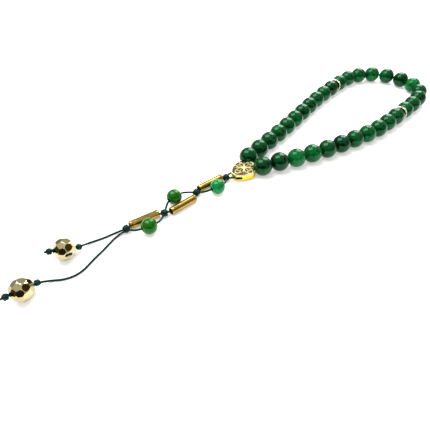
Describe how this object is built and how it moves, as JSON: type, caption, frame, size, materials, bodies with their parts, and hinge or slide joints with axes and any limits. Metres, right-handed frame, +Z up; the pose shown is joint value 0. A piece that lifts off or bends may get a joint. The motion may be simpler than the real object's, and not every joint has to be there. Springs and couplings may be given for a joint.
{
  "type": "misbaha prayer beads",
  "caption": "Misbaha: a closed loop of round green stone beads with flat separators, a metal imamah, and a knotted tassel with metal tubes, small beads and faceted end balls.",
  "frame": {"origin": "middle of the imamah's flat underside, on the table that the beads lie on", "axes": "+Z up from the table, +Y from the tassel along the loop, +X to the right seen from above with the tassel towards the viewer"},
  "size_m": [0.0497, 0.2296, 0.008],
  "materials": {
    "prayer_bead_stone": "dark green stone with faint mottling, polished",
    "small_bead_stone": "bright green stone, polished and slightly translucent",
    "separator_gold": "pale gold tone, polished",
    "imamah_gold": "yellow gold tone with dark oxidised recesses",
    "tube_gold": "gold tone, polished",
    "ball_gold": "pale gold tone, mirror-polished facets",
    "cord": "waxed braided cord, very dark green"
  },
  "bodies": {
    "root": {"imamah": "imamah_gold", "loop_cord": "cord", "neck_knot": "cord"},
    "upper_drop": {"upper_tube_cord": "cord", "upper_bead_cord": "cord", "upper_knot": "cord"},
    "middle_drop": {"middle_tube_cord": "cord", "middle_bead_cord": "cord", "middle_knot": "cord"},
    "lower_drop": {"lower_tube_cord": "cord", "lower_bead_cord": "cord", "lower_knot": "cord"},
    "left_tail": {"left_tail_cord": "cord", "left_tail_knots": "cord"},
    "right_tail": {"right_tail_cord": "cord", "right_tail_knots": "cord"},
    "upper_tube": {"upper_tube": "tube_gold"},
    "upper_bead": {"upper_bead": "small_bead_stone"},
    "middle_tube": {"middle_tube": "tube_gold"},
    "middle_bead": {"middle_bead": "small_bead_stone"},
    "lower_tube": {"lower_tube": "tube_gold"},
    "lower_bead": {"lower_bead": "small_bead_stone"},
    "left_ball": {"left_ball": "ball_gold"},
    "right_ball": {"right_ball": "ball_gold"},
    "bead_01": {"bead_01": "prayer_bead_stone"},
    "bead_02": {"bead_02": "prayer_bead_stone"},
    "bead_03": {"bead_03": "prayer_bead_stone"},
    "bead_04": {"bead_04": "prayer_bead_stone"},
    "bead_05": {"bead_05": "prayer_bead_stone"},
    "bead_06": {"bead_06": "prayer_bead_stone"},
    "bead_07": {"bead_07": "prayer_bead_stone"},
    "bead_08": {"bead_08": "prayer_bead_stone"},
    "bead_09": {"bead_09": "prayer_bead_stone"},
    "bead_10": {"bead_10": "prayer_bead_stone"},
    "bead_11": {"bead_11": "prayer_bead_stone"},
    "separator_1": {"separator_1": "separator_gold"},
    "bead_12": {"bead_12": "prayer_bead_stone"},
    "bead_13": {"bead_13": "prayer_bead_stone"},
    "bead_14": {"bead_14": "prayer_bead_stone"},
    "bead_15": {"bead_15": "prayer_bead_stone"},
    "bead_16": {"bead_16": "prayer_bead_stone"},
    "bead_17": {"bead_17": "prayer_bead_stone"},
    "bead_18": {"bead_18": "prayer_bead_stone"},
    "bead_19": {"bead_19": "prayer_bead_stone"},
    "bead_20": {"bead_20": "prayer_bead_stone"},
    "bead_21": {"bead_21": "prayer_bead_stone"},
    "bead_22": {"bead_22": "prayer_bead_stone"},
    "separator_2": {"separator_2": "separator_gold"},
    "bead_23": {"bead_23": "prayer_bead_stone"},
    "bead_24": {"bead_24": "prayer_bead_stone"},
    "bead_25": {"bead_25": "prayer_bead_stone"},
    "bead_26": {"bead_26": "prayer_bead_stone"},
    "bead_27": {"bead_27": "prayer_bead_stone"},
    "bead_28": {"bead_28": "prayer_bead_stone"},
    "bead_29": {"bead_29": "prayer_bead_stone"},
    "bead_30": {"bead_30": "prayer_bead_stone"},
    "bead_31": {"bead_31": "prayer_bead_stone"},
    "bead_32": {"bead_32": "prayer_bead_stone"},
    "bead_33": {"bead_33": "prayer_bead_stone"}
  },
  "joints": [
    {"name": "flex_1_neck_knot", "type": "hinge", "parent": "root", "child": "upper_drop", "pos_m": [-0.0018, -0.0084, 0.0015], "axis": [0, 0, 1], "range_deg": [-30, 30]},
    {"name": "flex_2_upper_knot", "type": "hinge", "parent": "upper_drop", "child": "middle_drop", "pos_m": [-0.0024, -0.0238, 0.0015], "axis": [0, 0, 1], "range_deg": [-30, 30]},
    {"name": "flex_3_middle_knot", "type": "hinge", "parent": "middle_drop", "child": "lower_drop", "pos_m": [-0.001, -0.0406, 0.0015], "axis": [0, 0, 1], "range_deg": [-30, 30]},
    {"name": "flex_4_left_tail", "type": "hinge", "parent": "lower_drop", "child": "left_tail", "pos_m": [-0.0032, -0.0559, 0.0015], "axis": [0, 0, 1], "range_deg": [-35, 0]},
    {"name": "flex_5_right_tail", "type": "hinge", "parent": "lower_drop", "child": "right_tail", "pos_m": [-0.0032, -0.0559, 0.0015], "axis": [0, 0, 1], "range_deg": [0, 35]},
    {"name": "spin_upper_tube", "type": "hinge", "parent": "upper_drop", "child": "upper_tube", "pos_m": [-0.0032, -0.0159, 0.0016], "axis": [-0.0333, -0.9994, 0], "continuous": true},
    {"name": "spin_upper_bead", "type": "hinge", "parent": "upper_drop", "child": "upper_bead", "pos_m": [0.0018, -0.0163, 0.003], "axis": [-0.0963, -0.9954, 0], "continuous": true},
    {"name": "spin_middle_tube", "type": "hinge", "parent": "middle_drop", "child": "middle_tube", "pos_m": [0, -0.0324, 0.0016], "axis": [0.0167, -0.9999, 0], "continuous": true},
    {"name": "spin_middle_bead", "type": "hinge", "parent": "middle_drop", "child": "middle_bead", "pos_m": [-0.0046, -0.033, 0.003], "axis": [0.0963, -0.9954, 0], "continuous": true},
    {"name": "spin_lower_tube", "type": "hinge", "parent": "lower_drop", "child": "lower_tube", "pos_m": [-0.003, -0.0482, 0.0016], "axis": [-0.1322, -0.9912, 0], "continuous": true},
    {"name": "spin_lower_bead", "type": "hinge", "parent": "lower_drop", "child": "lower_bead", "pos_m": [0.0025, -0.0497, 0.003], "axis": [-0.19, -0.9818, 0], "continuous": true},
    {"name": "spin_left_ball", "type": "hinge", "parent": "left_tail", "child": "left_ball", "pos_m": [-0.0062, -0.078, 0.0039], "axis": [-0.0695, -0.9262, 0.3705], "continuous": true},
    {"name": "spin_right_ball", "type": "hinge", "parent": "right_tail", "child": "right_ball", "pos_m": [0.0008, -0.0957, 0.0039], "axis": [0.1431, -0.9543, 0.2624], "continuous": true},
    {"name": "spin_bead_01", "type": "hinge", "parent": "root", "child": "bead_01", "pos_m": [-0.004, 0.00661, 0.004], "axis": [-0.121, 0.9773, 0.174], "continuous": true},
    {"name": "spin_bead_02", "type": "hinge", "parent": "root", "child": "bead_02", "pos_m": [-0.00525, 0.01456, 0.004], "axis": [-0.1829, 0.982, -0.048], "continuous": true},
    {"name": "spin_bead_03", "type": "hinge", "parent": "root", "child": "bead_03", "pos_m": [-0.00678, 0.02247, 0.004], "axis": [-0.1958, 0.9806, -0.0085], "continuous": true},
    {"name": "spin_bead_04", "type": "hinge", "parent": "root", "child": "bead_04", "pos_m": [-0.00838, 0.03037, 0.004], "axis": [-0.2038, 0.979, 0], "continuous": true},
    {"name": "spin_bead_05", "type": "hinge", "parent": "root", "child": "bead_05", "pos_m": [-0.01011, 0.03824, 0.004], "axis": [-0.224, 0.9746, 0], "continuous": true},
    {"name": "spin_bead_06", "type": "hinge", "parent": "root", "child": "bead_06", "pos_m": [-0.01198, 0.04608, 0.004], "axis": [-0.2368, 0.9716, 0], "continuous": true},
    {"name": "spin_bead_07", "type": "hinge", "parent": "root", "child": "bead_07", "pos_m": [-0.0139, 0.05391, 0.004], "axis": [-0.2422, 0.9702, 0], "continuous": true},
    {"name": "spin_bead_08", "type": "hinge", "parent": "root", "child": "bead_08", "pos_m": [-0.01588, 0.06172, 0.004], "axis": [-0.2453, 0.9694, 0], "continuous": true},
    {"name": "spin_bead_09", "type": "hinge", "parent": "root", "child": "bead_09", "pos_m": [-0.01773, 0.06957, 0.004], "axis": [-0.2092, 0.9779, 0], "continuous": true},
    {"name": "spin_bead_10", "type": "hinge", "parent": "root", "child": "bead_10", "pos_m": [-0.01924, 0.07749, 0.004], "axis": [-0.1691, 0.9856, 0], "continuous": true},
    {"name": "spin_bead_11", "type": "hinge", "parent": "root", "child": "bead_11", "pos_m": [-0.02056, 0.08544, 0.004], "axis": [-0.1551, 0.9879, 0], "continuous": true},
    {"name": "spin_separator_1", "type": "hinge", "parent": "root", "child": "separator_1", "pos_m": [-0.02123, 0.09, 0.004], "axis": [-0.1236, 0.9923, 0], "continuous": true},
    {"name": "spin_bead_12", "type": "hinge", "parent": "root", "child": "bead_12", "pos_m": [-0.02169, 0.09459, 0.004], "axis": [-0.0872, 0.9962, 0], "continuous": true},
    {"name": "spin_bead_13", "type": "hinge", "parent": "root", "child": "bead_13", "pos_m": [-0.02194, 0.10264, 0.004], "axis": [0.0602, 0.9982, 0], "continuous": true},
    {"name": "spin_bead_14", "type": "hinge", "parent": "root", "child": "bead_14", "pos_m": [-0.02026, 0.11052, 0.004], "axis": [0.3469, 0.9379, 0], "continuous": true},
    {"name": "spin_bead_15", "type": "hinge", "parent": "root", "child": "bead_15", "pos_m": [-0.01594, 0.11733, 0.004], "axis": [0.7167, 0.6973, 0], "continuous": true},
    {"name": "spin_bead_16", "type": "hinge", "parent": "root", "child": "bead_16", "pos_m": [-0.00919, 0.12172, 0.004], "axis": [0.9278, 0.3732, 0], "continuous": true},
    {"name": "spin_bead_17", "type": "hinge", "parent": "root", "child": "bead_17", "pos_m": [-0.00129, 0.12332, 0.004], "axis": [0.9997, 0.0264, 0], "continuous": true},
    {"name": "spin_bead_18", "type": "hinge", "parent": "root", "child": "bead_18", "pos_m": [0.00666, 0.12198, 0.004], "axis": [0.9343, -0.3566, 0], "continuous": true},
    {"name": "spin_bead_19", "type": "hinge", "parent": "root", "child": "bead_19", "pos_m": [0.01311, 0.11715, 0.004], "axis": [0.5957, -0.8032, 0], "continuous": true},
    {"name": "spin_bead_20", "type": "hinge", "parent": "root", "child": "bead_20", "pos_m": [0.0166, 0.10988, 0.004], "axis": [0.2722, -0.9622, 0], "continuous": true},
    {"name": "spin_bead_21", "type": "hinge", "parent": "root", "child": "bead_21", "pos_m": [0.01789, 0.10193, 0.004], "axis": [0.0948, -0.9955, 0], "continuous": true},
    {"name": "spin_bead_22", "type": "hinge", "parent": "root", "child": "bead_22", "pos_m": [0.01856, 0.09389, 0.004], "axis": [0.0701, -0.9975, 0], "continuous": true},
    {"name": "spin_separator_2", "type": "hinge", "parent": "root", "child": "separator_2", "pos_m": [0.01886, 0.08929, 0.004], "axis": [0.0599, -0.9982, 0], "continuous": true},
    {"name": "spin_bead_23", "type": "hinge", "parent": "root", "child": "bead_23", "pos_m": [0.01913, 0.08469, 0.004], "axis": [0.0579, -0.9983, 0], "continuous": true},
    {"name": "spin_bead_24", "type": "hinge", "parent": "root", "child": "bead_24", "pos_m": [0.01958, 0.07664, 0.004], "axis": [0.0541, -0.9985, 0], "continuous": true},
    {"name": "spin_bead_25", "type": "hinge", "parent": "root", "child": "bead_25", "pos_m": [0.0198, 0.06859, 0.004], "axis": [-0.0194, -0.9998, 0], "continuous": true},
    {"name": "spin_bead_26", "type": "hinge", "parent": "root", "child": "bead_26", "pos_m": [0.01914, 0.06056, 0.004], "axis": [-0.1363, -0.9907, 0], "continuous": true},
    {"name": "spin_bead_27", "type": "hinge", "parent": "root", "child": "bead_27", "pos_m": [0.01789, 0.05259, 0.004], "axis": [-0.1706, -0.9853, 0], "continuous": true},
    {"name": "spin_bead_28", "type": "hinge", "parent": "root", "child": "bead_28", "pos_m": [0.01642, 0.04467, 0.004], "axis": [-0.1907, -0.9816, 0], "continuous": true},
    {"name": "spin_bead_29", "type": "hinge", "parent": "root", "child": "bead_29", "pos_m": [0.01472, 0.03679, 0.004], "axis": [-0.2341, -0.9722, 0], "continuous": true},
    {"name": "spin_bead_30", "type": "hinge", "parent": "root", "child": "bead_30", "pos_m": [0.01265, 0.029, 0.004], "axis": [-0.278, -0.9606, 0], "continuous": true},
    {"name": "spin_bead_31", "type": "hinge", "parent": "root", "child": "bead_31", "pos_m": [0.01027, 0.0213, 0.004], "axis": [-0.3208, -0.947, 0.0179], "continuous": true},
    {"name": "spin_bead_32", "type": "hinge", "parent": "root", "child": "bead_32", "pos_m": [0.00743, 0.01376, 0.004], "axis": [-0.369, -0.929, 0.0295], "continuous": true},
    {"name": "spin_bead_33", "type": "hinge", "parent": "root", "child": "bead_33", "pos_m": [0.00499, 0.0061, 0.004], "axis": [-0.2242, -0.9586, -0.1756], "continuous": true}
  ]
}
